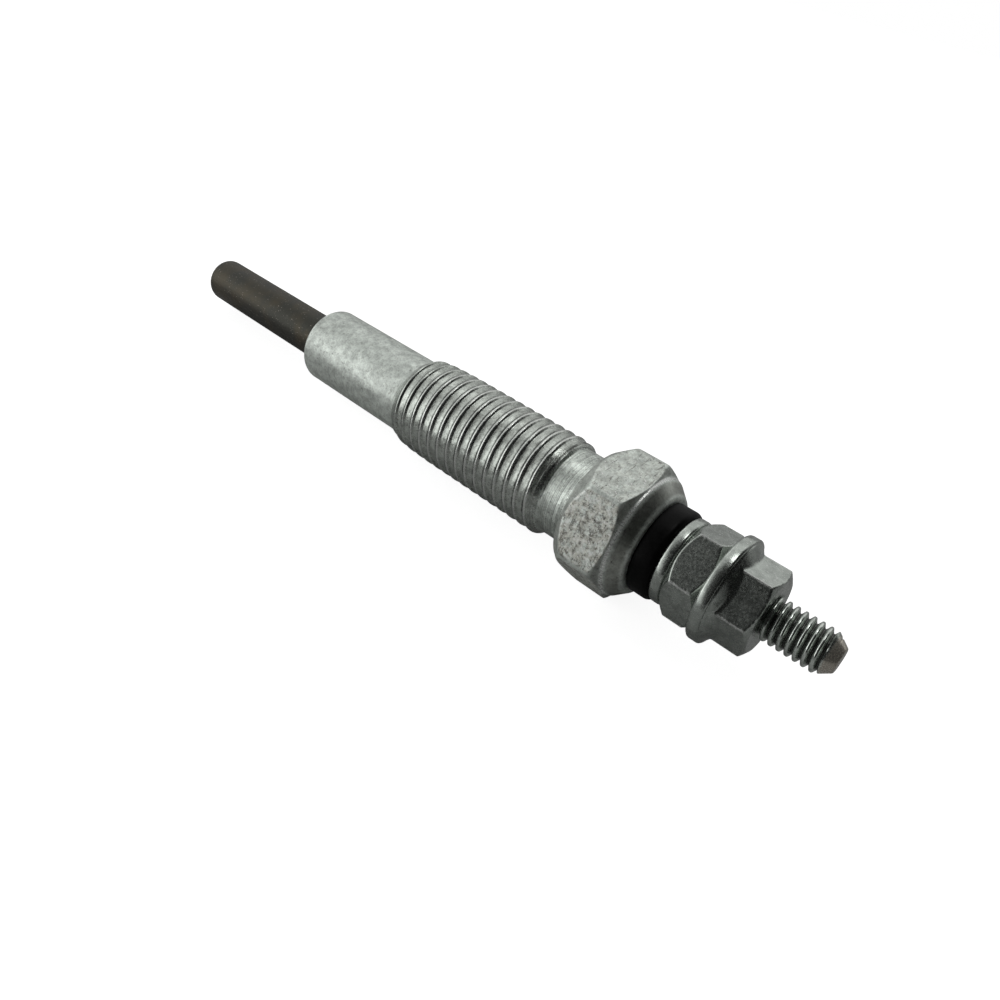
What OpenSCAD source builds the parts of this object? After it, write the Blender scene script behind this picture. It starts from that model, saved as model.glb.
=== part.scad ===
// Diesel glow plug with a threaded, hex-headed housing and a sheathed heater, in millimetres.
// It lies on a flat of its wrench hex: the plug's axis runs along X, with the terminal stud
// to +X, and Z is up. The origin is at mid-length, on the surface that the hex lies on.
// Threads are plain cylinders: at the crest where they are free, and at the pitch diameter
// where a nut is screwed on.

/* [Heater] */
// Outer diameter of the heater sheath
sheath_d = 5; // [4.6:0.05:5.6]
// Wall thickness of the heater sheath
sheath_wall = 0.65; // [0.4:0.05:0.7]
// Thickness of the sheath's closed end
sheath_tip = 0.9; // [0.6:0.1:1.5]
// Rounding of the sheath's closed end
sheath_tip_round = 0.4; // [0.1:0.05:0.55]
// Length of sheath that stands out of the housing
sheath_exposed = 20.5; // [16:0.5:30]
// Length of sheath that is pressed into the housing
sheath_held = 20.3; // [14:0.1:24]
// Mean diameter of both coils
coil_d = 2.4; // [2.2:0.05:2.6]
// Wire diameter of the heating coil
heating_wire_d = 0.36; // [0.24:0.02:0.4]
// Length of the heating coil
heating_coil_l = 8.4; // [5:0.1:10]
// Pitch of the heating coil's turns
heating_pitch = 0.8; // [0.7:0.05:1.2]
// Wire diameter of the regulating coil
regulating_wire_d = 0.28; // [0.2:0.02:0.32]
// Length of the regulating coil
regulating_coil_l = 12.6; // [8:0.1:14]
// Pitch of the regulating coil's turns
regulating_pitch = 0.9; // [0.7:0.05:1.2]
// Length of the sheath seal inside the sheath
seal_plug_l = 2; // [1:0.1:3]
// Thickness of the sheath seal's collar behind the sheath
seal_collar_l = 0.8; // [0.5:0.1:1.5]

/* [Housing] */
// Diameter of the plain nose in front of the thread
nose_d = 8.2; // [7.6:0.05:8.4]
// Length of the nose, with its sealing cone
nose_l = 15.35; // [10:0.05:24]
// Length of the sealing cone at the front of the nose
seat_l = 0.9; // [0.4:0.05:1.1]
// Half angle of the sealing cone
seat_angle = 45; // [30:1:50]
// Nominal diameter of the housing thread
thread_d = 10; // [9.5:0.1:10.6]
// Crest diameter lost to the thread's tolerance
thread_allowance = 0.14; // [0.05:0.01:0.25]
// Length of the housing thread, with its lead-in and run-out
thread_l = 19.85; // [14:0.05:28]
// Length of the tapered lead-in at the front of the thread
thread_lead_l = 2.6; // [1:0.1:4]
// Length of the steep start of that lead-in
thread_start_l = 0.5; // [0.2:0.05:0.8]
// Diameter that the lead-in has behind its steep start
thread_start_d = 9.2; // [8.6:0.05:9.25]
// Diameter of the plain neck between thread and hex
neck_d = 8.65; // [8:0.05:9]
// Length of the neck
neck_l = 3; // [2:0.1:6]
// Diameter of the rear bore that the terminal rod passes
rear_bore_d = 5.6; // [5.2:0.1:6]
// Diameter of the pocket for the body seal and the insulator
pocket_d = 7.4; // [7:0.1:7.8]
// Depth of that pocket
pocket_l = 4; // [3.2:0.1:5]

/* [Wrench hex] */
// Width across the flats of the wrench hex
hex_af = 11.9; // [11.6:0.1:13]
// Diameter that the corners of the hex are turned to
hex_corner_d = 13.5; // [13:0.1:14.5]
// Length of the hex between its front face and its rear edge
hex_l = 5.45; // [4.5:0.05:9]
// Diameter of the front face of the hex
hex_face_d = 11.2; // [10.4:0.1:11.5]
// Angle of the front chamfer from the axis
hex_front_angle = 37; // [30:1:60]
// Diameter of the rear edge of the hex
hex_edge_d = 11.7; // [10.4:0.1:11.9]
// Angle of the rear chamfer from the axis
hex_rear_angle = 51; // [40:1:65]
// Length of the conical collar behind the hex
collar_l = 1.4; // [0.8:0.1:2.2]
// Diameter of the collar at its end
collar_end_d = 9.42; // [8.6:0.02:9.8]
// Rounding of the collar's end
collar_round = 0.2; // [0.1:0.05:0.3]

/* [Terminal] */
// Nominal diameter of the terminal thread
stud_d = 4; // [3.6:0.1:4.4]
// Pitch of the terminal thread
stud_pitch = 0.7; // [0.5:0.05:0.8]
// Crest diameter lost to the thread's tolerance
stud_allowance = 0.08; // [0.04:0.01:0.14]
// Length of stud that stands out of the flange nut
stud_free_l = 6.05; // [3:0.05:12]
// Length of the taper at the end of the stud
stud_taper_l = 1.2; // [0.4:0.05:1.6]
// Diameter of the end of the stud
stud_end_d = 2.2; // [1.8:0.1:2.8]
// Outer diameter of the insulator
insulator_d = 8.6; // [8:0.05:9]
// Thickness of the insulator outside the housing
insulator_l = 2.05; // [1.2:0.05:3]
// Rounding of the insulator's rear edge
insulator_round = 0.5; // [0.1:0.05:0.8]
// Outer diameter of the flat washer
washer_d = 8.12; // [7.4:0.02:9]
// Thickness of the flat washer
washer_l = 1.05; // [0.6:0.05:1.6]
// Rounding of the flat washer's edge
washer_round = 0.3; // [0.1:0.05:0.3]
// Width across the flats of the hex nut
nut_af = 8; // [7:0.1:9]
// Height of the hex nut
nut_l = 3.25; // [2.4:0.05:5]
// Turn of the hex nut about the axis
nut_turn = 5; // [0:1:60]
// Width across the flats of the flange nut
flange_nut_af = 7; // [6.4:0.1:8]
// Height of the flange nut, with its flange
flange_nut_l = 4.6; // [3.6:0.05:6]
// Turn of the flange nut about the axis
flange_nut_turn = 12; // [0:1:60]
// Diameter of the flange
flange_d = 9.9; // [9:0.1:11]
// Thickness of the flange's rim
flange_rim_l = 1.1; // [0.6:0.1:1.4]
// Rounding of the flange's rim
flange_round = 0.2; // [0.1:0.05:0.3]
// Angle of the flange's sloping top from its rim's plane
flange_angle = 35; // [15:1:40]
// Angle of the chamfers on the corners of both nuts, from their faces
nut_chamfer = 30; // [15:1:40]

/* [Fits] */
// Gap around each piece that is pressed or set into another
fit = 0.02; // [0.01:0.01:0.05]
// Gap around the coils' wire
coil_fit = 0.04; // [0.03:0.01:0.05]
// Gap around the stud in the washer and the insulator
stud_fit = 0.19; // [0.1:0.01:0.3]

/* [Hidden] */
$fn = 96;

// Overlap that lets a cut run past the face it opens
cut = 1;
// A metric thread's pitch diameter is this many pitches under its nominal diameter
pitch_depth = 0.6495;
// Sides of the coil wire and steps along one turn
wire_sides = 8;
turn_steps = 10;
// Turn between the end of one coil and the start of the next, where they are welded
weld_turn = 2;
// Share of a nut's width that its round faces keep
nut_face_share = 0.95;
// How far the round blank of a nut stands out past the corners
blank_over = 0.5;

sheath_r = sheath_d / 2;
sheath_in_r = sheath_r - sheath_wall;
thread_r = (thread_d - thread_allowance) / 2;
neck_r = neck_d / 2;
nose_r = nose_d / 2;
stud_r = (stud_d - stud_allowance) / 2;
stud_pitch_r = (stud_d - pitch_depth * stud_pitch) / 2;
stud_hole_r = stud_r + stud_fit;
pocket_r = pocket_d / 2;
coil_r = coil_d / 2;
// The pin clears the straight steps of the wire that is wound on it
pin_r = (coil_r - regulating_wire_d / 2) * cos(180 / turn_steps) - coil_fit;

// Places along the axis, from the closed end of the sheath
z_front = sheath_exposed;
z_thread = z_front + nose_l;
z_neck = z_thread + thread_l;
z_hex = z_neck + neck_l;
z_collar = z_hex + hex_l;
z_insulator = z_collar + collar_l;
z_washer = z_insulator + insulator_l;
z_nut = z_washer + washer_l;
z_flange_nut = z_nut + nut_l;
z_stud = z_flange_nut + flange_nut_l;
overall_l = z_stud + stud_free_l;
z_pocket = z_insulator - pocket_l;
z_sheath_end = z_front + sheath_held;
z_shank = z_sheath_end + seal_collar_l;
z_fill_end = z_sheath_end - seal_plug_l;
z_heating = sheath_tip + coil_fit + heating_wire_d / 2;
heating_turns = heating_coil_l / heating_pitch;
z_regulating = z_heating + heating_coil_l;
regulating_turns = regulating_coil_l / regulating_pitch;
z_coil_end = z_regulating + regulating_coil_l + regulating_wire_d / 2;
// The rear two turns of the regulating coil are wound on the pin
pin_turns = 2;
z_pin = z_coil_end - pin_turns * regulating_pitch;
// Room round those turns, a little wider than the wire's own
wound_r = coil_r + regulating_wire_d / 2 + 2 * coil_fit;

// The body seal fills the gap between the rod and the pocket's wall
seal_cord_r = (pocket_r - stud_pitch_r) / 2 - fit;
seal_ring_r = (pocket_r + stud_pitch_r) / 2;
z_spigot = z_pocket + 2 * seal_cord_r + 2 * fit;

// Lays a piece that was made upright along the X axis, at its place in the plug
module laid() {
    translate([-overall_l / 2, 0, hex_af / 2])
        rotate([0, 90, 0])
            children();
}

// Half section of a bar from z = 0 to l, with the outer edges at its lower and upper end rounded
module bar_section(r, l, low = 0, high = 0) {
    translate([0, low])
        square([r, l - low - high]);
    if (low > 0) {
        square([r - low, l - high]);
        translate([r - low, low])
            circle(low);
    }
    if (high > 0) {
        translate([0, low])
            square([r - high, l - low]);
        translate([r - high, l - high])
            circle(high);
    }
}

// Hexagonal bar with two flats square to its own X axis
module hex_bar(af, l) {
    rotate([0, 0, 30])
        linear_extrude(l)
            circle(d = af / cos(30), $fn = 6);
}

// Half section of the round blank that cones off the corners of a nut, on the ends that are asked for
module nut_blank_section(af, l, low, high) {
    wide = af / cos(30) / 2 + blank_over;
    face = nut_face_share * af / 2;
    drop = (wide - face) * tan(nut_chamfer);
    polygon(concat([[0, 0]], low ? [[face, 0], [wide, drop]] : [[wide, 0]],
                   high ? [[wide, l - drop], [face, l]] : [[wide, l]], [[0, l]]));
}

// Threaded hole of a nut, with a countersink at both ends
module nut_hole(l) {
    sink = stud_hole_r - stud_pitch_r;
    rotate_extrude()
        polygon([[0, -cut], [stud_hole_r + cut, -cut], [stud_pitch_r + fit, sink],
                 [stud_pitch_r + fit, l - sink], [stud_hole_r + cut, l + cut], [0, l + cut]]);
}

// Wire wound round the Z axis from z = 0, with flat ends
module coil(wire_r, pitch, turns) {
    steps = ceil(turns * turn_steps);
    rise = atan(pitch / (2 * PI * coil_r));
    points = [for (i = [0 : steps]) let (a = 360 * turns * i / steps)
        for (k = [0 : wire_sides - 1]) let (b = 360 * k / wire_sides)
            let (out = wire_r * cos(b), up = wire_r * sin(b))
                [(coil_r + out) * cos(a) + up * sin(rise) * sin(a),
                 (coil_r + out) * sin(a) - up * sin(rise) * cos(a),
                 pitch * a / 360 + up * cos(rise)]];
    sides = [for (i = [0 : steps - 1]) for (k = [0 : wire_sides - 1])
        let (n = (k + 1) % wire_sides, ring = i * wire_sides, next = ring + wire_sides)
            each [[ring + k, next + n, next + k], [ring + k, ring + n, next + n]]];
    first = [for (k = [wire_sides - 1 : -1 : 0]) k];
    last = [for (k = [0 : wire_sides - 1]) steps * wire_sides + k];
    polyhedron(points, concat(sides, [first, last]));
}

module heating_wire(gap = 0) {
    translate([0, 0, z_heating])
        coil(heating_wire_d / 2 + gap, heating_pitch, heating_turns);
}

module regulating_wire(gap = 0) {
    translate([0, 0, z_regulating])
        rotate([0, 0, 360 * heating_turns + weld_turn])
            coil(regulating_wire_d / 2 + gap, regulating_pitch, regulating_turns);
}

// One turned piece: nose with sealing cone, thread, neck, hex and collar, bored through
module housing() {
    run_out = thread_r - neck_r;
    corner_r = hex_corner_d / 2;
    face_r = hex_face_d / 2;
    edge_r = hex_edge_d / 2;
    end_r = collar_end_d / 2;
    color("silver") laid() difference() {
        union() {
            rotate_extrude()
                polygon([[0, z_front], [nose_r - seat_l * tan(seat_angle), z_front],
                         [nose_r, z_front + seat_l], [nose_r, z_thread],
                         [thread_start_d / 2, z_thread + thread_start_l],
                         [thread_r, z_thread + thread_lead_l], [thread_r, z_neck - run_out],
                         [neck_r, z_neck], [neck_r, z_hex + cut], [0, z_hex + cut]]);
            intersection() {
                rotate_extrude() {
                    polygon([[0, z_hex], [face_r, z_hex],
                             [corner_r, z_hex + (corner_r - face_r) / tan(hex_front_angle)],
                             [corner_r, z_collar - (corner_r - edge_r) / tan(hex_rear_angle)],
                             [edge_r, z_collar], [end_r, z_insulator - collar_round],
                             [end_r - collar_round, z_insulator - collar_round],
                             [end_r - collar_round, z_insulator], [0, z_insulator]]);
                    translate([end_r - collar_round, z_insulator - collar_round])
                        circle(collar_round);
                }
                translate([0, 0, z_hex - cut])
                    hex_bar(hex_af, hex_l + collar_l + 2 * cut);
            }
        }
        translate([0, 0, z_front - cut])
            cylinder(r = sheath_r + fit, h = sheath_held + cut);
        translate([0, 0, z_sheath_end])
            cylinder(d = rear_bore_d, h = z_insulator - z_sheath_end + cut);
        translate([0, 0, z_pocket])
            cylinder(r = pocket_r, h = pocket_l + cut);
    }
}

// Tube with a closed, rounded front end
module heater_sheath() {
    color("dimgray") laid() difference() {
        rotate_extrude()
            bar_section(sheath_r, z_sheath_end, low = sheath_tip_round);
        translate([0, 0, sheath_tip])
            cylinder(r = sheath_in_r, h = z_sheath_end);
    }
}

module heating_coil() {
    color("orangered") laid() heating_wire();
}

module regulating_coil() {
    color("goldenrod") laid() regulating_wire();
}

// Packed powder round both coils and the pin of the terminal rod
module magnesia_fill() {
    color("white") laid() difference() {
        translate([0, 0, sheath_tip + fit])
            cylinder(r = sheath_in_r - fit, h = z_fill_end - sheath_tip - 2 * fit);
        translate([0, 0, z_pin - fit])
            cylinder(r = pin_r + fit, h = z_fill_end - z_pin + cut);
        translate([0, 0, z_pin - fit])
            cylinder(r = wound_r, h = z_coil_end - z_pin + coil_fit + fit);
        heating_wire(coil_fit);
        regulating_wire(coil_fit);
    }
}

// Rubber bush in the rear end of the sheath, with a collar behind it
module sheath_seal() {
    color("black") laid() translate([0, 0, z_fill_end]) difference() {
        union() {
            cylinder(r = sheath_in_r - fit, h = seal_plug_l + seal_collar_l);
            translate([0, 0, seal_plug_l])
                cylinder(r = sheath_r, h = seal_collar_l);
        }
        translate([0, 0, -cut])
            cylinder(r = pin_r + fit, h = seal_plug_l + seal_collar_l + 2 * cut);
    }
}

// Pin, shank and terminal stud in one piece
module terminal_rod() {
    end_r = stud_end_d / 2;
    color("lightgray") laid() rotate_extrude()
        polygon([[0, z_pin], [pin_r, z_pin], [pin_r, z_shank], [stud_pitch_r, z_shank],
                 [stud_pitch_r, z_spigot], [stud_r, z_spigot], [stud_r, z_nut],
                 [stud_pitch_r, z_nut], [stud_pitch_r, z_stud], [stud_r, z_stud],
                 [stud_r, overall_l - stud_taper_l], [end_r, overall_l], [0, overall_l]]);
}

// Rubber ring at the bottom of the housing's pocket
module body_seal() {
    color("black") laid() translate([0, 0, z_pocket + fit + seal_cord_r]) rotate_extrude()
        translate([seal_ring_r, 0])
            circle(seal_cord_r);
}

// Stepped bush: the spigot holds the body seal down, the flange keeps the washer off the housing
module insulator_bush() {
    flange_r = insulator_d / 2;
    color([0.05, 0.05, 0.05]) laid() difference() {
        union() {
            translate([0, 0, z_spigot])
                cylinder(r = pocket_r - fit, h = z_insulator - z_spigot + insulator_l / 2);
            translate([0, 0, z_insulator])
                rotate_extrude()
                    bar_section(flange_r, insulator_l, high = insulator_round);
        }
        translate([0, 0, z_spigot - cut])
            cylinder(r = stud_hole_r, h = z_washer - z_spigot + 2 * cut);
    }
}

module flat_washer() {
    color("silver") laid() translate([0, 0, z_washer]) difference() {
        rotate_extrude()
            bar_section(washer_d / 2, washer_l, low = washer_round, high = washer_round);
        translate([0, 0, -cut])
            cylinder(r = stud_hole_r, h = washer_l + 2 * cut);
    }
}

module hex_nut() {
    color("darkgray") laid() translate([0, 0, z_nut]) difference() {
        intersection() {
            rotate([0, 0, nut_turn - 30])
                hex_bar(nut_af, nut_l);
            rotate_extrude()
                nut_blank_section(nut_af, nut_l, true, true);
        }
        nut_hole(nut_l);
    }
}

// Nut with a round flange that has a sloping top
module flange_nut() {
    rim_r = flange_d / 2;
    top_r = rim_r - flange_round;
    slope_l = (top_r - stud_hole_r) * tan(flange_angle);
    hex_part_l = flange_nut_l - flange_rim_l / 2;
    color("silver") laid() translate([0, 0, z_flange_nut]) difference() {
        union() {
            rotate_extrude() {
                bar_section(rim_r, flange_rim_l, low = flange_round, high = flange_round);
                polygon([[0, 0], [top_r, 0], [top_r, flange_rim_l],
                         [stud_hole_r, flange_rim_l + slope_l], [0, flange_rim_l + slope_l]]);
            }
            translate([0, 0, flange_rim_l / 2]) intersection() {
                rotate([0, 0, flange_nut_turn - 30])
                    hex_bar(flange_nut_af, hex_part_l);
                rotate_extrude()
                    nut_blank_section(flange_nut_af, hex_part_l, false, true);
            }
        }
        nut_hole(flange_nut_l);
    }
}

housing();
heater_sheath();
heating_coil();
regulating_coil();
magnesia_fill();
sheath_seal();
terminal_rod();
body_seal();
insulator_bush();
flat_washer();
hex_nut();
flange_nut();
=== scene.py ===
import math

import bmesh
import bpy
from mathutils import Euler, Matrix, Vector


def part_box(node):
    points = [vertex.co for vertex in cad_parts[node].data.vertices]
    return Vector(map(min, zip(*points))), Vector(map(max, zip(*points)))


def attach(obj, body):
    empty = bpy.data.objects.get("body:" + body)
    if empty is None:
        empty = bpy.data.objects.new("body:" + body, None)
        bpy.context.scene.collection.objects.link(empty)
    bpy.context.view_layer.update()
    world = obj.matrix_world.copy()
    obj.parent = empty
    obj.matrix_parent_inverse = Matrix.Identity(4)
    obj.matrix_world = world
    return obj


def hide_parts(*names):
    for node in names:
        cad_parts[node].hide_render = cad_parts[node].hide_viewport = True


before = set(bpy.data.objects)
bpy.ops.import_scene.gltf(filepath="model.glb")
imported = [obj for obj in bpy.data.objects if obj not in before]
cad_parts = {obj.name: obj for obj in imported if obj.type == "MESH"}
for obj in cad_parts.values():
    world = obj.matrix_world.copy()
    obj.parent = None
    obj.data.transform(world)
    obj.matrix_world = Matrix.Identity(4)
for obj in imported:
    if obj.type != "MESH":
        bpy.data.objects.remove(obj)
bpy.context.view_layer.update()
mm = 0.001
sheathLow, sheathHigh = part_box("heater_sheath")
axisZ = (sheathLow.z + sheathHigh.z) / 2  # height of the plug's axis over the ground
print("frame loaded, axis at", round(axisZ / mm, 3), "mm")


# Camera, at the photograph's place and angle
view = {
    "place": (46.034, -44.339, 55.877),
    "azimuth": 42.04,
    "elevation": 43.46,
    "roll": 1.817,
    "lens": 28.8127,
    "sensor": 36.0,
    "nearest": 1.0,
}


def setCamera():
    data = bpy.data.cameras.new("camera")
    data.lens = view["lens"]
    data.sensor_width = view["sensor"]
    data.clip_start = view["nearest"] * mm
    camera = bpy.data.objects.new("camera", data)
    bpy.context.scene.collection.objects.link(camera)
    turn = Euler((math.radians(90 - view["elevation"]), 0, math.radians(view["azimuth"]))).to_matrix()
    turn = turn @ Matrix.Rotation(math.radians(view["roll"]), 3, "Z")
    camera.matrix_world = Matrix.Translation([c * mm for c in view["place"]]) @ turn.to_4x4()
    bpy.context.scene.camera = camera
    print("camera set")


setCamera()


# Tools for round pieces: sizes in mm, along X and out from the plug's axis
gaps = {"merge": 1e-7, "helix": 2e-6, "sliver": 3e-5, "plane": 2e-7, "cut": 1e-8}  # in metres
sameRadius = 1e-4
onAxis = 1e-6
sharpAngle = 38  # in degrees


def radiusOf(vert):
    return math.hypot(vert.co.y, vert.co.z - axisZ) / mm


def angleOf(vert):
    return math.degrees(math.atan2(-vert.co.y, vert.co.z - axisZ))  # from up, towards -Y


def setRadius(vert, radius):
    now = radiusOf(vert)
    if now > onAxis:
        vert.co.y *= radius / now
        vert.co.z = axisZ + (vert.co.z - axisZ) * radius / now


def smoothStep(low, high, value):
    share = min(max((value - low) / (high - low), 0), 1)
    return share * share * (3 - 2 * share)


def softMin(a, b, soft):
    gap = max(soft - abs(a - b), 0) / soft
    return min(a, b) - gap * gap * soft / 4


def softMax(a, b, soft):
    return -softMin(-a, -b, soft)


def alongLine(points, x):
    # height of a bent line at x
    if x <= points[0][0]:
        return points[0][1]
    for (xa, ra), (xb, rb) in zip(points, points[1:]):
        if x <= xb:
            return ra + (rb - ra) * (x - xa) / (xb - xa)
    return points[-1][1]


def hexRadius(angle, flats, corner):
    # how far out a hexagon's side is at an angle, where corner is the angle of one of its corners
    off = (angle - corner) % 60 - 30
    return flats / 2 / math.cos(math.radians(off))


def roundCorners(bm, verts, size, segments):
    bmesh.ops.bevel(bm, geom=verts, offset=size * mm, offset_type="OFFSET", segments=segments,
                    profile=0.5, affect="VERTICES", material=-1)


def drawWire(bm, outline, closed=False, soften=3):
    # half section of a turned piece: x, radius and how far each corner is rounded
    verts = [bm.verts.new((x * mm, 0, axisZ + r * mm)) for x, r, _ in outline]
    for a, b in zip(verts, verts[1:]):
        bm.edges.new((a, b))
    if closed:
        bm.edges.new((verts[-1], verts[0]))
    for vert, (_, _, size) in zip(verts, outline):
        if size:
            roundCorners(bm, [vert], size, soften)


def divideWire(bm, longest, xLow, xHigh, least):
    # cuts the long edges of the wire beyond a radius, so that the spun piece can be shaped between them
    for edge in bm.edges[:]:
        a, b = edge.verts
        behind = min(a.co.x, b.co.x) > xLow * mm - gaps["merge"]
        before = max(a.co.x, b.co.x) < xHigh * mm + gaps["merge"]
        cuts = int(edge.calc_length() / mm / longest)
        if behind and before and cuts and min(radiusOf(a), radiusOf(b)) > least:
            bmesh.ops.subdivide_edges(bm, edges=[edge], cuts=cuts)


def spinWire(bm, steps, rise, merge):
    bmesh.ops.spin(bm, geom=bm.verts[:] + bm.edges[:], cent=(0, 0, axisZ), axis=(1, 0, 0),
                   dvec=(rise, 0, 0), angle=2 * math.pi, steps=steps, use_merge=merge)


def spinRound(bm, steps):
    spinWire(bm, steps, 0, True)
    bmesh.ops.remove_doubles(bm, verts=bm.verts, dist=gaps["merge"])


def windThread(bm, thread):
    # half section of a thread, wound round the axis: one turn of the wire closes all the turns
    pitch = thread["pitch"]
    flat = thread["crestFlat"] / 2
    first = thread["crestAt"] - thread["before"] * pitch
    outline = []
    for k in range(thread["turns"]):
        x = first + k * pitch
        outline += [(x - flat, thread["crest"], 0), (x + flat, thread["crest"], 0)]
        outline += [(x + thread["rearFoot"], thread["root"], 0)]
        outline += [(x + pitch - thread["frontFoot"], thread["root"], 0)]
    drawWire(bm, outline)
    bm.verts.ensure_lookup_table()
    crests = [v for v in bm.verts[1:-1] if radiusOf(v) > thread["crest"] - sameRadius]
    roots = [v for v in bm.verts[1:-1] if radiusOf(v) < thread["root"] + sameRadius]
    roundCorners(bm, crests, thread["crestRound"], segments=2)
    roundCorners(bm, roots, thread["rootRound"], segments=2)
    flanks = [e for e in bm.edges if abs(radiusOf(e.verts[0]) - radiusOf(e.verts[1])) > thread["divide"]]
    bmesh.ops.subdivide_edges(bm, edges=flanks, cuts=thread["cuts"])
    spinWire(bm, thread["steps"], pitch * mm / thread["steps"], False)
    bmesh.ops.remove_doubles(bm, verts=bm.verts, dist=gaps["helix"])


def ringAt(bm, x):
    # open edges that lie in one plane across the axis
    return [e for e in bm.edges if e.is_boundary
            and all(abs(v.co.x - x * mm) < gaps["plane"] for v in e.verts)]


def cutAcross(bm, x, keepRear):
    # cuts the piece square to its axis, with no slivers where the thread was cut
    bmesh.ops.bisect_plane(bm, geom=bm.verts[:] + bm.edges[:] + bm.faces[:], dist=gaps["cut"],
                           plane_co=(x * mm, 0, 0), plane_no=(1, 0, 0),
                           clear_outer=not keepRear, clear_inner=keepRear)
    verts = {v for e in ringAt(bm, x) for v in e.verts}
    verts = sorted(verts, key=angleOf)  # merged in the same order every time
    bmesh.ops.remove_doubles(bm, verts=verts, dist=gaps["sliver"])


def joinPart(bm, part):
    # puts a turned part into the same mesh
    mesh = bpy.data.meshes.new("part")
    part.to_mesh(mesh)
    part.free()
    bm.from_mesh(mesh)
    bpy.data.meshes.remove(mesh)


def bridgeRings(bm, xa, xb):
    bmesh.ops.bridge_loops(bm, edges=ringAt(bm, xa) + ringAt(bm, xb))


def turnPiece(bm, degrees):
    bmesh.ops.rotate(bm, verts=bm.verts, cent=(0, 0, axisZ),
                     matrix=Matrix.Rotation(math.radians(degrees), 3, "X"))


def addPiece(name, bm, material, node):
    bmesh.ops.remove_doubles(bm, verts=bm.verts, dist=gaps["merge"])
    bmesh.ops.recalc_face_normals(bm, faces=bm.faces)
    openEdges = sum(e.is_boundary or not e.is_manifold for e in bm.edges)
    mesh = bpy.data.meshes.new(name)
    bm.to_mesh(mesh)
    bm.free()
    mesh.shade_smooth()
    mesh.set_sharp_from_angle(angle=math.radians(sharpAngle))
    mesh.materials.append(material)
    piece = bpy.data.objects.new(name, mesh)
    bpy.context.scene.collection.objects.link(piece)
    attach(piece, "root")
    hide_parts(node)
    triangles = sum(len(p.vertices) - 2 for p in mesh.polygons)
    print(name, "made,", triangles, "triangles,", openEdges, "open edges")


# Node tools
def fillInputs(tree, node, inputs):
    for key, value in inputs.items():
        if isinstance(value, bpy.types.NodeSocket):
            tree.links.new(value, node.inputs[key])
        else:
            node.inputs[key].default_value = value


def addNode(tree, kind, inputs=None, **settings):
    node = tree.nodes.new(kind)
    for key, value in settings.items():
        setattr(node, key, value)
    fillInputs(tree, node, inputs or {})
    return node


def calc(tree, operation, a, b=0.0):
    return addNode(tree, "ShaderNodeMath", {0: a, 1: b}, operation=operation).outputs[0]


def times(tree, a, b):
    return calc(tree, "MULTIPLY", a, b)


def plus(tree, a, b):
    return calc(tree, "ADD", a, b)


def minus(tree, a, b):
    return calc(tree, "SUBTRACT", a, b)


def larger(tree, a, b):
    return calc(tree, "MAXIMUM", a, b)


def mapRange(tree, value, fromLow, fromHigh, toLow=0.0, toHigh=1.0, smooth=False):
    node = addNode(tree, "ShaderNodeMapRange", {"Value": value, "From Min": fromLow, "From Max": fromHigh,
                                                "To Min": toLow, "To Max": toHigh})
    if smooth:
        node.interpolation_type = "SMOOTHSTEP"
    return node.outputs[0]


def mixColour(tree, share, a, b, blend="MIX"):
    node = addNode(tree, "ShaderNodeMix", {0: share, 6: a, 7: b}, data_type="RGBA", blend_type=blend)
    return node.outputs[2]


def noiseAt(tree, vector, scale, detail, rough, stretch=None):
    if stretch:
        vector = addNode(tree, "ShaderNodeMapping", {"Vector": vector, "Scale": stretch}).outputs[0]
    node = addNode(tree, "ShaderNodeTexNoise", {"Vector": vector, "Scale": scale, "Detail": detail,
                                                "Roughness": rough})
    return node.outputs["Fac"]


def splitPlace(tree, place):
    return addNode(tree, "ShaderNodeSeparateXYZ", {0: place}).outputs


def newGroup(name, inputs, outputs):
    # an input without a number is a place, all others and the outputs are numbers
    group = bpy.data.node_groups.new(name, "ShaderNodeTree")
    for label, value in inputs.items():
        kind = "NodeSocketVector" if value is None else "NodeSocketFloat"
        socket = group.interface.new_socket(label, in_out="INPUT", socket_type=kind)
        if value is not None:
            socket.default_value = value
    for label in outputs:
        group.interface.new_socket(label, in_out="OUTPUT", socket_type="NodeSocketFloat")
    entry = group.nodes.new("NodeGroupInput")
    leave = group.nodes.new("NodeGroupOutput")
    return group, entry.outputs, leave.inputs


def useGroup(tree, group, inputs):
    return addNode(tree, "ShaderNodeGroup", inputs, node_tree=group).outputs


def startMaterial(name):
    # gives the place in mm from the plug's axis too
    material = bpy.data.materials.new(name)
    material.use_nodes = True
    tree = material.node_tree
    shader = tree.nodes["Principled BSDF"]
    place = addNode(tree, "ShaderNodeTexCoord").outputs["Object"]
    place = addNode(tree, "ShaderNodeMapping", {"Vector": place, "Location": (0, 0, -axisZ / mm),
                                                "Scale": (1 / mm, 1 / mm, 1 / mm)}).outputs[0]
    return material, tree, shader, place


def addBump(tree, shader, height, distance):
    bump = addNode(tree, "ShaderNodeBump", {"Height": height, "Distance": distance, "Strength": 1.0})
    tree.links.new(bump.outputs[0], shader.inputs["Normal"])


def makeAxisGroup():
    # distance from the plug's axis and place along it, in mm
    tree, entry, leave = newGroup("axisDistance", {"Vector": None}, ["Radius", "Along"])
    parts = splitPlace(tree, entry["Vector"])
    flat = addNode(tree, "ShaderNodeCombineXYZ", {1: parts[1], 2: parts[2]}).outputs[0]
    length = addNode(tree, "ShaderNodeVectorMath", {0: flat}, operation="LENGTH").outputs["Value"]
    tree.links.new(length, leave["Radius"])
    tree.links.new(parts[0], leave["Along"])
    return tree


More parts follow.
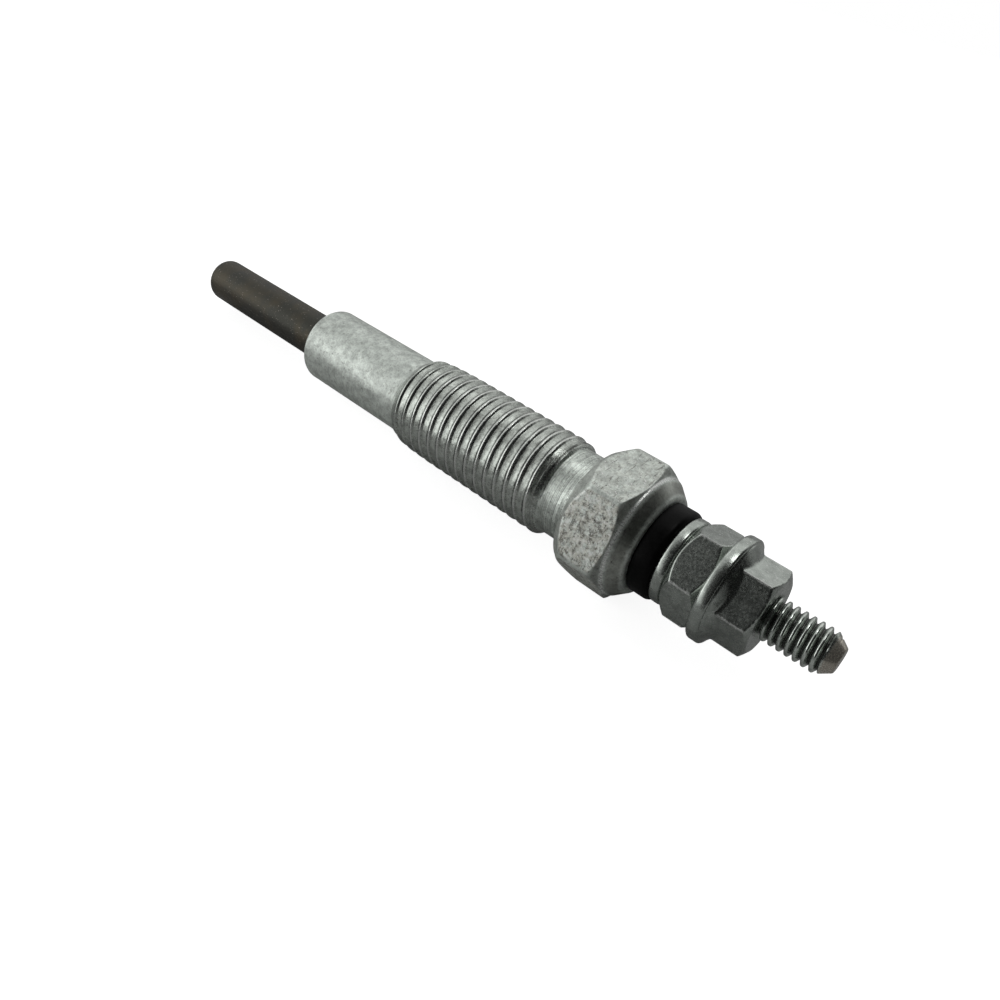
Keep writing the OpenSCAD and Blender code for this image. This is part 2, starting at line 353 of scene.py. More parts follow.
def makeStretchGroup():
    # a stretch along the axis, with soft ends
    inputs = {"Along": 0.0, "From": 0.0, "To": 1.0, "Soft": 0.3}
    tree, entry, leave = newGroup("stretchMask", inputs, ["Mask"])
    begin = mapRange(tree, minus(tree, entry["Along"], entry["From"]), 0.0, entry["Soft"])
    end = mapRange(tree, minus(tree, entry["To"], entry["Along"]), 0.0, entry["Soft"])
    tree.links.new(times(tree, begin, end), leave["Mask"])
    return tree


# Zinc plate: cloudy mottle, fine grain, small dark pits and light scratches
zinc = {
    "mottle": (4.0, 0.6),  # detail and roughness of the noise
    "grain": (3.0, 0.65),
    "pitReach": (0.45, 1.0, 0.02, 1.0),  # a range of noise and the range of values it becomes
    "pitCore": 0.5,
    "scratchTurn": (0.4, 0.3, 0.6),
    "scratchNoise": (2.4, 1.0, 0.5, (0.2, 4.0, 4.0)),  # scale, detail, roughness and stretch
    "scratch": (0.66, 0.72),
}


def makePlateGroup():
    inputs = {"Vector": None, "Mottle Scale": 0.9, "Grain Scale": 6.0, "Pit Scale": 1.5, "Pit Size": 0.1}
    tree, entry, leave = newGroup("zincPlate", inputs, ["Mottle", "Grain", "Pits", "Scratches"])
    place = entry["Vector"]
    tree.links.new(noiseAt(tree, place, entry["Mottle Scale"], *zinc["mottle"]), leave["Mottle"])
    tree.links.new(noiseAt(tree, place, entry["Grain Scale"], *zinc["grain"]), leave["Grain"])
    cells = addNode(tree, "ShaderNodeTexVoronoi", {"Vector": place, "Scale": entry["Pit Scale"]}).outputs
    chance = addNode(tree, "ShaderNodeSeparateColor", {0: cells["Color"]}).outputs[0]
    reach = times(tree, mapRange(tree, chance, *zinc["pitReach"]), entry["Pit Size"])
    pits = mapRange(tree, cells["Distance"], reach, times(tree, reach, zinc["pitCore"]))
    tree.links.new(pits, leave["Pits"])
    turned = addNode(tree, "ShaderNodeMapping", {"Vector": place, "Rotation": zinc["scratchTurn"]})
    lines = noiseAt(tree, turned.outputs[0], *zinc["scratchNoise"])
    tree.links.new(mapRange(tree, lines, *zinc["scratch"]), leave["Scratches"])
    return tree


axisGroup = makeAxisGroup()
plateGroup = makePlateGroup()
stretchGroup = makeStretchGroup()
print("node groups built")


# Materials of the plated pieces
plating = {
    "dark": (0.325, 0.352, 0.325, 1),
    "light": (0.65, 0.7, 0.648, 1),
    # pitAndShade: the dark of real pits, and of the painted shade at the thread's feet and in the stud's
    # grooves
    "pitAndShade": (0.03, 0.03, 0.028, 1),
    # scratch: also the light colour of the painted glints on the hex and of the painted highlight on the
    # collar's land
    "scratch": (0.8, 0.81, 0.79, 1),
    "beige": (0.5, 0.46, 0.38, 1),
    "stain": (0.13, 0.125, 0.11, 1),
    "bare": (0.6, 0.56, 0.48, 1),
    "collarDarkening": (0.13, 0.12, 0.1, 1),
}
plateMix = {"grain": (0.3, 0.7), "grainHeight": 0.8, "scratches": 0.5, "pits": 0.8}
housingLook = {
    "plate": {"Mottle Scale": 1.3, "Grain Scale": 6.0, "Pit Scale": 0.9, "Pit Size": 0.08},
    "mottle": 0.6,
    "grain": 0.4,
    "even": 0.125,
    "tone": 1.2,
    "rough": (0.3, 0.46),
    "metal": 0.5,
    "bump": 0.000012,
    "fleck": {
        "noise": (3.4, 4.0, 0.7),  # scale, detail, roughness and, where it is drawn out, stretch
        "range": (0.56, 0.66, 0.0, 0.5),  # from and to, then what they become
    },
    "hex": {
        "stretch": (17.2, 22.7, 0.2),  # from, to and how soft its ends are
        "flat": (5.905, 5.938),
        "chamfer": (6.4, 6.6, 0.35, 0.0),
        "plate": {"Mottle Scale": 1.6, "Grain Scale": 9.0, "Pit Scale": 2.8, "Pit Size": 0.36},
        "speckle": (0.42, 0.54),
        "gripped": (2.8, 3.8, 0.3, 1.0),
        "tint": 0.4,
        "blotchNoise": (2.2, 5.0, 0.75),
        "stained": (0.5, 0.6, 0.0, 0.85),
        "paintedGlint": (0.46, 0.36, 0.0, 0.7),
        "etchNoise": (2.0, 2.0, 0.5, (2.5, 0.4, 0.4)),
        "etched": (0.62, 0.66, 0.0, 0.6),
    },
    "neck": {
        "stretch": (13.5, 17.5, 0.2),
        "noise": (1.0, 3.0, 0.7, (9.0, 0.05, 0.05)),
        "tone": (0.35, 0.65, 0.55, 1.25),
        "height": 4.0,
        "metal": 0.45,
        "polish": 0.06,
    },
    "thread": {
        "stretch": (-5.4, 14.3, 0.3),
        "crest": (4.84, 4.9),
        "worn": 0.35,
        "dull": 0.3,
        "polish": 0.08,
        "metal": 0.9,
        "waveNoise": (1.1, 2.0, 0.5),
        "waves": 5.0,
    },
    # foot: a broken line of painted shade at the foot of each ridge
    "foot": {
        "stretch": (-5.4, 14.3, 0.3),
        "pitch": 1.25,
        "at": -3.51,
        "line": (0.06, 0.16, 0.9, 0.0),
        "ragged": (0.3, 0.7, -0.03, 0.03),
        "breakNoise": (0.7, 3.0, 0.6),
        "broken": (0.4, 0.6, 0.35, 1.0),
    },
    "collar": {
        "stretch": (23.05, 24.1, 0.2),
        "collarDarkening": 0.5,
        "metal": 0.45,
        # land: burnished, and lightened with a painted highlight
        "land": (22.66, 23.04, 0.06),
        "bright": 0.5,
        "polish": 0.1,
    },
}
nutLook = {
    "plate": {"Mottle Scale": 1.1, "Grain Scale": 5.0, "Pit Scale": 0.9, "Pit Size": 0.05},
    "mottle": 0.7,
    "grain": 0.3,
    "even": 0.2,
    "tone": 0.76,
    "rough": (0.18, 0.3),
    "metal": 0.95,
    "bump": 0.000008,
    "corners": {
        "reach": [((27.4, 30.6, 0.1), 4.53), ((32.35, 35.2, 0.1), 3.96)],  # stretch and radius of each nut
        "wide": 0.06,
        "ragged": (0.3, 0.7, -0.03, 0.03),
        "worn": 0.5,
    },
}
studLook = {
    "plate": {"Mottle Scale": 1.2, "Grain Scale": 7.0, "Pit Scale": 1.2, "Pit Size": 0.05},
    "mottle": 0.5,
    "grain": 0.5,
    "even": 0.12,
    "tone": 1.0,
    "rough": (0.28, 0.4),
    "metal": 0.92,
    "bump": 0.000008,
    "thread": {
        "stretch": (35.0, 42.0, 0.3),
        "crest": (1.86, 1.92),
        "worn": 0.1,
        # groove: painted shade and dirt in the stud's grooves
        "groove": (1.56, 1.74, 0.9, 0.0),
        "polish": 0.08,
        "metal": 0.9,
        "waveNoise": (2.0, 2.0, 0.5),
        "waves": 4.0,
    },
    "bareEnd": {"stretch": (40.3, 42.0, 0.15), "bare": 0.8, "matt": 0.35},
}


def stretchMask(tree, skin, stretch):
    begin, end, soft = stretch
    inputs = {"Along": skin["along"], "From": begin, "To": end, "Soft": soft}
    return useGroup(tree, stretchGroup, inputs)["Mask"]


def tintSkin(tree, skin, share, tone):
    skin["colour"] = mixColour(tree, share, skin["colour"], plating[tone])


def addFlecks(tree, skin, look):
    # small dull spots that are a little sunk
    dull = mapRange(tree, noiseAt(tree, skin["place"], *look["noise"]), *look["range"])
    tintSkin(tree, skin, dull, "stain")
    skin["height"] = minus(tree, skin["height"], dull)


def rubHex(tree, skin, look):
    # handled flats with more pits, a beige tint, stains, scratches and painted glints, between dull
    # chamfers
    onHex = stretchMask(tree, skin, look["stretch"])
    rubbed = useGroup(tree, plateGroup, {"Vector": skin["place"], **look["plate"]})
    spots = splitPlace(tree, skin["place"])
    lean = times(tree, spots[2], math.cos(math.radians(60)))
    reach = times(tree, spots[1], math.sin(math.radians(60)))
    apart = calc(tree, "ABSOLUTE", spots[2])  # how far out a place is, square to its flat
    for kind in ["ADD", "SUBTRACT"]:
        apart = larger(tree, apart, calc(tree, "ABSOLUTE", calc(tree, kind, lean, reach)))
    onFlat = times(tree, onHex, mapRange(tree, apart, *look["flat"]))
    chamfer = mapRange(tree, skin["radius"], *look["chamfer"])
    tintSkin(tree, skin, times(tree, minus(tree, onHex, onFlat), chamfer), "stain")
    speckle = times(tree, mapRange(tree, rubbed["Mottle"], *look["speckle"]), onFlat)
    gripped = mapRange(tree, calc(tree, "ABSOLUTE", spots[1]), *look["gripped"])
    gripped = times(tree, gripped, onFlat)
    blotch = noiseAt(tree, skin["place"], *look["blotchNoise"])
    etched = mapRange(tree, noiseAt(tree, skin["place"], *look["etchNoise"]), *look["etched"])
    tintSkin(tree, skin, times(tree, times(tree, speckle, gripped), look["tint"]), "beige")
    tintSkin(tree, skin, times(tree, mapRange(tree, blotch, *look["stained"]), gripped), "stain")
    tintSkin(tree, skin, times(tree, etched, onFlat), "stain")
    # painted glint: light specks on the gripped flats
    tintSkin(tree, skin, times(tree, mapRange(tree, blotch, *look["paintedGlint"]), gripped), "scratch")
    sunk = times(tree, rubbed["Pits"], speckle)
    skin["pits"] = larger(tree, skin["pits"], sunk)
    skin["scratch"] = larger(tree, skin["scratch"], times(tree, rubbed["Scratches"], onHex))
    skin["height"] = minus(tree, skin["height"], sunk)


def lineNeck(tree, skin, look):
    # fine turning lines round the neck
    onNeck = stretchMask(tree, skin, look["stretch"])
    turning = noiseAt(tree, skin["place"], *look["noise"])
    lined = mixColour(tree, 1.0, skin["colour"], mapRange(tree, turning, *look["tone"]), "MULTIPLY")
    skin["colour"] = mixColour(tree, onNeck, skin["colour"], lined)
    skin["height"] = plus(tree, skin["height"], times(tree, times(tree, turning, onNeck), look["height"]))
    skin["metal"] = plus(tree, skin["metal"], times(tree, onNeck, look["metal"]))
    skin["rough"] = minus(tree, skin["rough"], times(tree, onNeck, look["polish"]))


def wearThread(tree, skin, look):
    # worn crests, a duller thread where the look asks for it, grooves darkened with painted shade and dirt
    # where the look asks for it, and slow waves in the surface
    inThread = stretchMask(tree, skin, look["stretch"])
    worn = times(tree, mapRange(tree, skin["radius"], *look["crest"]), inThread)
    if "dull" in look:
        tintSkin(tree, skin, times(tree, inThread, look["dull"]), "stain")
    tintSkin(tree, skin, times(tree, worn, look["worn"]), "scratch")
    # painted shade and dirt darken the grooves
    if "groove" in look:
        tintSkin(tree, skin, times(tree, mapRange(tree, skin["radius"], *look["groove"]), inThread), "pitAndShade")
    skin["rough"] = minus(tree, skin["rough"], times(tree, worn, look["polish"]))
    skin["rough"] = minus(tree, skin["rough"], times(tree, inThread, look["polish"]))
    skin["metal"] = larger(tree, skin["metal"], times(tree, inThread, look["metal"]))
    waves = times(tree, noiseAt(tree, skin["place"], *look["waveNoise"]), inThread)
    skin["height"] = plus(tree, skin["height"], times(tree, waves, look["waves"]))


def shadeThreadFoot(tree, skin, look):
    # a broken line of painted shade along the foot of the thread's ridge, told by the place along the helix
    spots = splitPlace(tree, skin["place"])
    angle = calc(tree, "ARCTAN2", times(tree, spots[1], -1.0), spots[2])
    turns = calc(tree, "DIVIDE", minus(tree, spots[0], look["at"]), look["pitch"])
    turns = minus(tree, turns, calc(tree, "DIVIDE", angle, 2 * math.pi))
    away = minus(tree, calc(tree, "FRACT", plus(tree, turns, 0.5)), 0.5)
    away = plus(tree, calc(tree, "ABSOLUTE", away), mapRange(tree, skin["grain"], *look["ragged"]))
    line = mapRange(tree, away, *look["line"], smooth=True)
    broken = mapRange(tree, noiseAt(tree, skin["place"], *look["breakNoise"]), *look["broken"])
    line = times(tree, times(tree, line, broken), stretchMask(tree, skin, look["stretch"]))
    tintSkin(tree, skin, line, "pitAndShade")


def toneCollar(tree, skin, look):
    # a darker cone behind the hex, and the land between them, burnished and lightened with a painted
    # highlight
    onCollar = stretchMask(tree, skin, look["stretch"])
    tintSkin(tree, skin, times(tree, onCollar, look["collarDarkening"]), "collarDarkening")
    skin["metal"] = plus(tree, skin["metal"], times(tree, onCollar, look["metal"]))
    # the land: burnished, with a painted highlight
    onLand = stretchMask(tree, skin, look["land"])
    tintSkin(tree, skin, times(tree, onLand, look["bright"]), "scratch")
    skin["rough"] = minus(tree, skin["rough"], times(tree, onLand, look["polish"]))


def wearCorners(tree, skin, look):
    # worn corners of the nuts
    ragged = plus(tree, skin["radius"], mapRange(tree, skin["grain"], *look["ragged"]))
    for stretch, reach in look["reach"]:
        corner = mapRange(tree, ragged, reach, reach + look["wide"])
        corner = times(tree, times(tree, stretchMask(tree, skin, stretch), corner), look["worn"])
        tintSkin(tree, skin, corner, "scratch")
        skin["metal"] = minus(tree, skin["metal"], corner)


def bareTip(tree, skin, look):
    # the stud's end cone has lost its plate
    bare = stretchMask(tree, skin, look["stretch"])
    tintSkin(tree, skin, times(tree, bare, look["bare"]), "bare")
    skin["metal"] = minus(tree, skin["metal"], times(tree, bare, look["matt"]))


underMarks = {"fleck": addFlecks, "hex": rubHex}
overMarks = {"neck": lineNeck, "thread": wearThread, "foot": shadeThreadFoot, "collar": toneCollar,
             "corners": wearCorners, "bareEnd": bareTip}


def applyEffects(tree, skin, look, effects):
    for label, effect in effects.items():
        if label in look:
            effect(tree, skin, look[label])


def platedSteel(name, look):
    material, tree, shader, place = startMaterial(name)
    axis = useGroup(tree, axisGroup, {"Vector": place})
    plate = useGroup(tree, plateGroup, {"Vector": place, **look["plate"]})
    mottle = times(tree, plate["Mottle"], look["mottle"])
    cloud = plus(tree, mottle, times(tree, plate["Grain"], look["grain"]))
    cloud = mapRange(tree, cloud, 0.5 - look["even"], 0.5 + look["even"])
    colour = mixColour(tree, cloud, plating["dark"], plating["light"])
    tone = look["tone"]
    grainHeight = times(tree, plate["Grain"], plateMix["grainHeight"])
    skin = {
        "place": place,
        "radius": axis["Radius"],
        "along": axis["Along"],
        "grain": plate["Grain"],
        "colour": mixColour(tree, 1.0, colour, (tone, tone, tone, 1), "MULTIPLY"),
        "rough": mapRange(tree, plate["Grain"], *plateMix["grain"], *look["rough"]),
        "metal": look["metal"],
        "height": minus(tree, grainHeight, plate["Pits"]),
        "scratch": times(tree, plate["Scratches"], plateMix["scratches"]),
        "pits": plate["Pits"],
    }
    applyEffects(tree, skin, look, underMarks)
    tintSkin(tree, skin, skin["scratch"], "scratch")
    tintSkin(tree, skin, times(tree, skin["pits"], plateMix["pits"]), "pitAndShade")
    applyEffects(tree, skin, look, overMarks)
    fillInputs(tree, shader, {"Base Color": skin["colour"], "Roughness": skin["rough"],
                              "Metallic": skin["metal"]})
    addBump(tree, shader, skin["height"], look["bump"])
    return material


housingZinc = platedSteel("housingZinc", housingLook)
nutZinc = platedSteel("nutZinc", nutLook)
studZinc = platedSteel("studZinc", studLook)


# Heat-browned heater sheath
sheathLook = {
    "dark": (0.03, 0.0305, 0.024, 1),
    "light": (0.052, 0.052, 0.042, 1),
    "warm": (0.078, 0.062, 0.036, 1),
    "speck": (0.5, 0.46, 0.4, 1),
    "cloudNoise": (0.3, 3.0, 0.5),
    "cloud": (0.48, 0.68, 0.0, 0.6),
    "fineNoise": (5.0, 3.0, 0.6),
    "fine": (0.3, 0.7),
    "speckNoise": (7.0, 1.0, 0.55),
    "specks": (0.72, 0.75, 0.0, 0.7),
    "rough": (0.4, 0.55),
    "metal": 0.75,
    "bump": 0.000006,
}


def brownedSheath(name, look):
    material, tree, shader, place = startMaterial(name)
    fine = noiseAt(tree, place, *look["fineNoise"])
    cloud = mapRange(tree, noiseAt(tree, place, *look["cloudNoise"]), *look["cloud"])
    specks = mapRange(tree, noiseAt(tree, place, *look["speckNoise"]), *look["specks"])
    colour = mixColour(tree, mapRange(tree, fine, *look["fine"]), look["dark"], look["light"])
    colour = mixColour(tree, cloud, colour, look["warm"])
    colour = mixColour(tree, specks, colour, look["speck"])
    rough = mapRange(tree, fine, *look["fine"], *look["rough"])
    fillInputs(tree, shader, {"Base Color": colour, "Roughness": rough, "Metallic": look["metal"]})
    addBump(tree, shader, fine, look["bump"])
    return material


# Black moulded insulator, and the same plain way for what is inside
plainLook = {"detail": 4.0, "rough": 0.6, "cloud": (0.35, 0.65), "wide": (0.3, 0.7), "bump": 0.000006}
insulatorShine = 0.06


def plainMaterial(name, low, high, rough, scale, metal=0.0):
    material, tree, shader, place = startMaterial(name)
    cloud = noiseAt(tree, place, scale, plainLook["detail"], plainLook["rough"])
    colour = mixColour(tree, mapRange(tree, cloud, *plainLook["cloud"]), low, high)
    rough = mapRange(tree, cloud, *plainLook["wide"], *rough)
    fillInputs(tree, shader, {"Base Color": colour, "Roughness": rough, "Metallic": metal})
    addBump(tree, shader, cloud, plainLook["bump"])
    return material


sheathOxide = brownedSheath("sheathOxide", sheathLook)
insulatorBlack = plainMaterial("insulatorBlack", (0.002, 0.002, 0.002, 1), (0.004, 0.004, 0.004, 1),
                               (0.3, 0.42), 3.0)
sealRubber = plainMaterial("sealRubber", (0.012, 0.012, 0.012, 1), (0.02, 0.02, 0.02, 1), (0.6, 0.8), 5.0)
fillPowder = plainMaterial("fillPowder", (0.62, 0.61, 0.58, 1), (0.8, 0.79, 0.77, 1), (0.85, 0.95), 6.0)
coilWire = plainMaterial("coilWire", (0.2, 0.19, 0.18, 1), (0.34, 0.33, 0.31, 1), (0.3, 0.45), 5.0, 1.0)
insulatorShader = insulatorBlack.node_tree.nodes["Principled BSDF"]
insulatorShader.inputs["Specular IOR Level"].default_value = insulatorShine
print("materials built")


# Housing: nose, body thread, neck, wrench hex and collar in one piece
housing = {
    "frontRadius": 3.2,
    "seatEnd": -19.875,
    "noseRadius": 4.1,
    "noseJoin": -6.3,
    "threadCut": (-5.9, 14.7),
    "leadIn": [(-5.55, 4.1), (-5.15, 4.5), (-4.6, 4.7), (-3.0, 4.86), (-0.475, 4.93)],
    "runOut": [(13.82, 4.93), (14.425, 4.325)],
    "footSoft": 0.04,
    "neckRadius": 4.325,
    "neckJoin": 15.1,
    "hexFront": 17.425,
    "hexFace": 5.6,
    "frontAngle": 37,
    "hexRear": 22.875,
    "hexEdge": 5.85,
    "rearAngle": 51,
    "hexFlats": 11.9,
    "hexCorner": 6.7495,
    "hexSoft": 0.1,
    "hexColumns": 240,
    "hexDivide": 0.09,
    "hexMargin": 0.02,
    "hexReach": (0.1, 0.4),
    "hexCore": 5.0,
    "landFront": (-0.18, 0.05, 0.08),  # from the hex's rear edge, and its rounding
    "landRear": (0.12, -0.03, 0.12),
    "neckRound": 0.25,
    "faceRound": 0.1,
    "cornerRound": 0.2,
    "collarRound": 0.2,
    "pocketRound": 0.1,
    "boreRound": 0.06,
    "noseRound": 0.12,
    "collarEnd": 4.71,
    "pocketStart": 20.275,
    "pocket": 3.7,
    "rearBore": 2.8,
    "sheathEnd": -0.475,
    "sheathBore": 2.52,
}
bodyThread = {
    "pitch": 1.25,
    "crest": 4.93,
    "root": 4.74,
    "crestFlat": 0.2,
    "frontFoot": 0.32,
    "rearFoot": 0.22,
    "crestRound": 0.06,
    "rootRound": 0.05,
    "divide": 0.15,
    "cuts": 1,
    "steps": 120,
    "crestAt": -3.24,
    "before": 4,
    "turns": 21,
}
housingLow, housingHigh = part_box("housing")
frontX = housingLow.x / mm
rearX = housingHigh.x / mm


def turnHousing():
    # hex, collar, bores and nose are turned in one outline, then the hex is pressed to its flats
    part = bmesh.new()
    front = housing["hexFront"]
    rear = housing["hexRear"]
    edge = housing["hexEdge"]
    corner = housing["hexCorner"]
    slope = (corner - housing["hexFace"]) / math.tan(math.radians(housing["frontAngle"]))
    back = (corner - edge) / math.tan(math.radians(housing["rearAngle"]))
    landFront = housing["landFront"]
    landRear = housing["landRear"]
    drawWire(part, [
        (housing["neckJoin"], housing["neckRadius"], 0),
        (front, housing["neckRadius"], housing["neckRound"]),
        (front, housing["hexFace"], housing["faceRound"]),
        (front + slope, corner, housing["cornerRound"]),
        (rear - back, corner, housing["cornerRound"]),
        (rear + landFront[0], edge + landFront[1], landFront[2]),
        (rear + landRear[0], edge + landRear[1], landRear[2]),
        (rearX, housing["collarEnd"], housing["collarRound"]),
        (rearX, housing["pocket"], housing["pocketRound"]),
        (housing["pocketStart"], housing["pocket"], 0),
        (housing["pocketStart"], housing["rearBore"], 0),
        (housing["sheathEnd"], housing["rearBore"], 0),
        (housing["sheathEnd"], housing["sheathBore"], 0),
        (frontX, housing["sheathBore"], housing["boreRound"]),
        (frontX, housing["frontRadius"], housing["noseRound"]),
        (housing["seatEnd"], housing["noseRadius"], housing["noseRound"]),
        (housing["noseJoin"], housing["noseRadius"], 0),
    ])
    margin = housing["hexMargin"]
    divideWire(part, housing["hexDivide"], front - margin, rear + margin, housing["hexCore"])
    spinRound(part, housing["hexColumns"])
    ahead, behind = housing["hexReach"]
    for vert in part.verts:
        radius = radiusOf(vert)
        if front - ahead < vert.co.x / mm < rear + behind and radius > housing["hexCore"]:
            side = hexRadius(angleOf(vert), housing["hexFlats"], corner=30)
            setRadius(vert, softMin(radius, side, housing["hexSoft"]))
    return part


def makeHousing():
    # the whole thread sinks into the nose and the neck at its ends
    bm = bmesh.new()
    windThread(bm, bodyThread)
    for vert in bm.verts:
        x = vert.co.x / mm
        sink = 2 * bodyThread["crest"] - alongLine(housing["leadIn"], x) - alongLine(housing["runOut"], x)
        foot = housing["noseRadius"] if x < 0 else housing["neckRadius"]
        setRadius(vert, softMax(radiusOf(vert) - sink, foot, housing["footSoft"]))
    cutFront, cutRear = housing["threadCut"]
    cutAcross(bm, cutFront, True)
    cutAcross(bm, cutRear, False)
    joinPart(bm, turnHousing())
    bridgeRings(bm, cutRear, housing["neckJoin"])
    bridgeRings(bm, cutFront, housing["noseJoin"])
    addPiece("housingShell", bm, housingZinc, "housing")


makeHousing()


# Heater sheath: closed tube with a rounded tip
sheath = {"radius": 2.5, "wall": 0.65, "tip": 0.9, "tipRound": 0.4, "endRound": 0.05, "innerRound": 0.1,
          "columns": 128}


def makeSheath():
    bm = bmesh.new()
    tipX = sheathLow.x / mm
    endX = sheathHigh.x / mm
    inner = sheath["radius"] - sheath["wall"]
    floorX = tipX + sheath["tip"]
    outline = [(tipX, 0, 0), (tipX, sheath["radius"], sheath["tipRound"]),
               (endX, sheath["radius"], sheath["endRound"]), (endX, inner, sheath["endRound"]),
               (floorX, inner, sheath["innerRound"]), (floorX, 0, 0)]
    drawWire(bm, outline, soften=5)
    spinRound(bm, sheath["columns"])
    addPiece("sheathTube", bm, sheathOxide, "heater_sheath")


makeSheath()


# Terminal rod: pin and shank inside, threaded stud outside, plain where the nuts sit
rod = {
    "pin": 0.968,
    "shankStart": 0.325,
    "shank": 1.7727,
    "stepX": 22.283,
    "crest": 1.96,
    "frontJoin": 26.6,
    "threadCut": (26.8, 41.1),
    "threadStart": (27.0, 27.3),
    "nutStart": (27.3, 27.5),
    "nutEnd": (34.9, 35.2),
    "taper": [(40.075, 1.96), (41.275, 1.1)],
    "taperSoft": 0.04,
    "rearJoin": 41.16,
    "stepRound": 0.1,
    "shankRound": 0.15,
    "pinRound": 0.1,
    "endRound": 0.08,
    "columns": 96,
}
studThread = {
    "pitch": 0.7,
    "crest": 1.96,
    "root": 1.54,
    "crestFlat": 0.18,
    "frontFoot": 0.31,
    "rearFoot": 0.31,
    "crestRound": 0.07,
    "rootRound": 0.03,
    "divide": 0.1,
    "cuts": 3,
    "steps": 72,
    "crestAt": 36.114,
    "before": 17,
    "turns": 27,
}
rodLow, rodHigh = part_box("terminal_rod")


def turnRod(outline):
    part = bmesh.new()
    drawWire(part, outline)
    spinRound(part, rod["columns"])
    return part


def makeRod():
    bm = bmesh.new()
    windThread(bm, studThread)
    for vert in bm.verts:
        x = vert.co.x / mm
        radius = radiusOf(vert)
        inNut = smoothStep(*rod["nutStart"], x) * (1 - smoothStep(*rod["nutEnd"], x))
        radius = radius + (min(radius, rod["shank"]) - radius) * inNut
        radius = rod["crest"] + (radius - rod["crest"]) * smoothStep(*rod["threadStart"], x)
        setRadius(vert, softMin(radius, alongLine(rod["taper"], x), rod["taperSoft"]))
    cutFront, cutRear = rod["threadCut"]
    cutAcross(bm, cutFront, True)
    cutAcross(bm, cutRear, False)
    pinX = rodLow.x / mm
    endX = rodHigh.x / mm
    joinPart(bm, turnRod([
        (rod["frontJoin"], rod["crest"], 0),
        (rod["stepX"], rod["crest"], rod["stepRound"]),
        (rod["stepX"], rod["shank"], 0),
        (rod["shankStart"], rod["shank"], rod["shankRound"]),
        (rod["shankStart"], rod["pin"], 0),
        (pinX, rod["pin"], rod["pinRound"]),
        (pinX, 0, 0),
    ]))
    joinPart(bm, turnRod([
        (rod["rearJoin"], alongLine(rod["taper"], rod["rearJoin"]), 0),
        (endX, rod["taper"][1][1], rod["endRound"]),
        (endX, 0, 0),
    ]))
    bridgeRings(bm, rod["frontJoin"], cutFront)
    bridgeRings(bm, cutRear, rod["rearJoin"])
    addPiece("terminalStud", bm, studZinc, "terminal_rod")


makeRod()


# Insulator bush, with a spigot in the housing's pocket
insulator = {"bore": 2.15, "boreRound": 0.1, "spigot": 3.68, "spigotRound": 0.1, "radius": 4.3,
             "seatRound": 0.12, "endRound": 0.5, "columns": 128}


def makeInsulator():
    low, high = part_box("insulator_bush")
    xa = low.x / mm
    xb = high.x / mm
    bm = bmesh.new()
    outline = [(xa, insulator["bore"], 0), (xa, insulator["spigot"], insulator["spigotRound"]),
               (rearX, insulator["spigot"], 0), (rearX, insulator["radius"], insulator["seatRound"]),
               (xb, insulator["radius"], insulator["endRound"]),
               (xb, insulator["bore"], insulator["boreRound"])]
    drawWire(bm, outline, closed=True, soften=5)
    spinRound(bm, insulator["columns"])
    addPiece("insulatorCollar", bm, insulatorBlack, "insulator_bush")


makeInsulator()


# Flat washer
washer = {"bore": 2.15, "radius": 4.06, "round": 0.28, "columns": 128}


def makeWasher():
    low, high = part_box("flat_washer")
    xa = low.x / mm
    xb = high.x / mm
    bm = bmesh.new()
    outline = [(xa, washer["bore"], 0), (xa, washer["radius"], washer["round"]),
               (xb, washer["radius"], washer["round"]), (xb, washer["bore"], 0)]
    drawWire(bm, outline, closed=True, soften=4)
    spinRound(bm, washer["columns"])
    addPiece("flatWasher", bm, nutZinc, "flat_washer")


makeWasher()


# Hex nut and flange nut, both with a plain hole that opens at the ends
bothNuts = {"thread": 1.793, "mouth": 2.17, "core": 3.0, "edgeRound": 0.05}
hexNut = {"flats": 8.0, "turn": 5, "face": 3.88, "wide": 5.119, "chamfer": 42, "soft": 0.08, "columns": 240,
          "divide": 0.09, "margin": 0.1}
flangeNut = {"flats": 7.0, "turn": 12, "face": 3.325, "chamfer": 30, "soft": 0.08, "columns": 240,
             "rim": 4.95, "rimThick": 1.1, "rimRound": 0.2, "frontRound": 0.25, "blankGap": 0.05,
             "slope": 35, "skirtSoft": 0.3, "divide": 0.08, "margin": 0.01, "above": 0.001}


def makeHexNut():
    low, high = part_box("hex_nut")
    xa = low.x / mm
    xb = high.x / mm
    sink = bothNuts["mouth"] - bothNuts["thread"]
    edgeRound = bothNuts["edgeRound"]
    face = hexNut["face"]
    wide = hexNut["wide"]
    drop = (wide - face) * math.tan(math.radians(hexNut["chamfer"]))
    bm = bmesh.new()
    outline = [(xa, bothNuts["mouth"], edgeRound), (xa, face, edgeRound), (xa + drop, wide, 0),
               (xb - drop, wide, 0), (xb, face, edgeRound), (xb, bothNuts["mouth"], edgeRound),
               (xb - sink, bothNuts["thread"], 0), (xa + sink, bothNuts["thread"], 0)]
    drawWire(bm, outline, closed=True)
    divideWire(bm, hexNut["divide"], xa, xb, face - hexNut["margin"])
    spinRound(bm, hexNut["columns"])
    for vert in bm.verts:
        radius = radiusOf(vert)
        if radius > bothNuts["core"]:
            side = hexRadius(angleOf(vert), hexNut["flats"], corner=0)
            setRadius(vert, softMin(radius, side, hexNut["soft"]))
    turnPiece(bm, hexNut["turn"])
    addPiece("hexNut", bm, nutZinc, "hex_nut")


